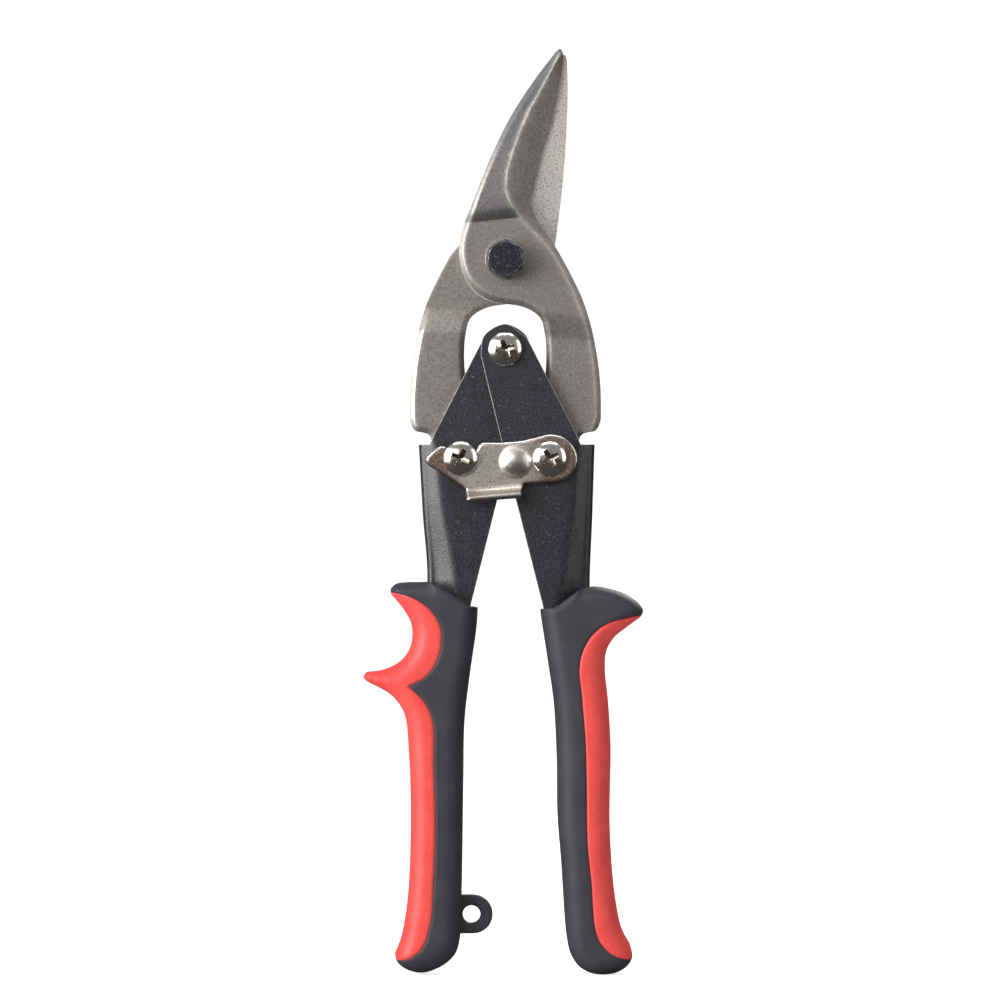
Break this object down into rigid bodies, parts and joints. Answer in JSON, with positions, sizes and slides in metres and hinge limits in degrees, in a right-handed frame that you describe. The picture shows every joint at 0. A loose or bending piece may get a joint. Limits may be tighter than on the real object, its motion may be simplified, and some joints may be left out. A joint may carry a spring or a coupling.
{
  "type": "aviation snips",
  "caption": "Compound-action sheet metal snips with lapped forged blades, folded channel handles, two-colour moulded grips, a swinging thumb latch and a hanging tab.",
  "frame": {"origin": "middle of the bounding box, at the bottom of the grips", "axes": "+Z along the closed tool from the grips to the blade tips, +X across the handles to the right grip, +Y from the front (latch side) to the back; the blades' shear plane is near Y = 0"},
  "size_m": [0.0755, 0.0263, 0.2495],
  "materials": {
    "forged_steel": "satin, blasted",
    "black_bolt": "black oxide",
    "bright_steel": "bright",
    "black_paint": "satin powder coat",
    "slate_plastic": "matte",
    "red_rubber": "soft satin",
    "nickel": "bright nickel",
    "latch_nickel": "nickel plated",
    "spring_steel": "oiled"
  },
  "bodies": {
    "left_handle": {"left_handle_channel": "black_paint", "left_grip": "slate_plastic", "left_grip_insert": "red_rubber", "fulcrum_screw": "nickel", "fulcrum_nut": "nickel", "left_link_screw": "nickel", "left_link_nut": "nickel", "torsion_spring": "spring_steel"},
    "right_handle": {"right_handle_channel": "black_paint", "right_grip": "slate_plastic", "right_grip_insert": "red_rubber", "right_link_screw": "nickel", "right_link_nut": "nickel"},
    "rear_blade": {"rear_blade": "forged_steel", "pivot_bolt": "black_bolt", "pivot_washer_front": "bright_steel", "pivot_washer_rear": "bright_steel", "pivot_nut": "black_bolt"},
    "front_blade": {"front_blade": "forged_steel"},
    "latch_washer": {"latch_washer": "bright_steel"},
    "latch": {"latch": "latch_nickel"}
  },
  "joints": [
    {"name": "handle_pivot", "type": "hinge", "parent": "left_handle", "child": "right_handle", "pos_m": [0, 0, 0.1685], "axis": [0, -1, 0], "range_deg": [0, 40], "deforming": ["torsion_spring"]},
    {"name": "rear_blade_link", "type": "hinge", "parent": "left_handle", "child": "rear_blade", "pos_m": [-0.012, 0, 0.1391], "axis": [0, -1, 0], "range_deg": [0, 10]},
    {"name": "front_blade_link", "type": "hinge", "parent": "right_handle", "child": "front_blade", "pos_m": [0.012, 0, 0.1391], "axis": [0, -1, 0], "range_deg": [-10, 0]},
    {"name": "latch_carry", "type": "hinge", "parent": "right_handle", "child": "latch_washer", "pos_m": [0.012, 0, 0.1391], "axis": [0, -1, 0], "range_deg": [0, 61]},
    {"name": "latch_swing", "type": "hinge", "parent": "latch_washer", "child": "latch", "pos_m": [0.012, 0, 0.1391], "axis": [0, -1, 0], "range_deg": [0, 50]}
  ],
  "couplings": [
    {"joint": "rear_blade_link", "follows": "handle_pivot", "ratio": 0.24135},
    {"joint": "front_blade_link", "follows": "handle_pivot", "ratio": -0.24135},
    {"joint": "latch_carry", "follows": "handle_pivot", "ratio": 1.5}
  ]
}
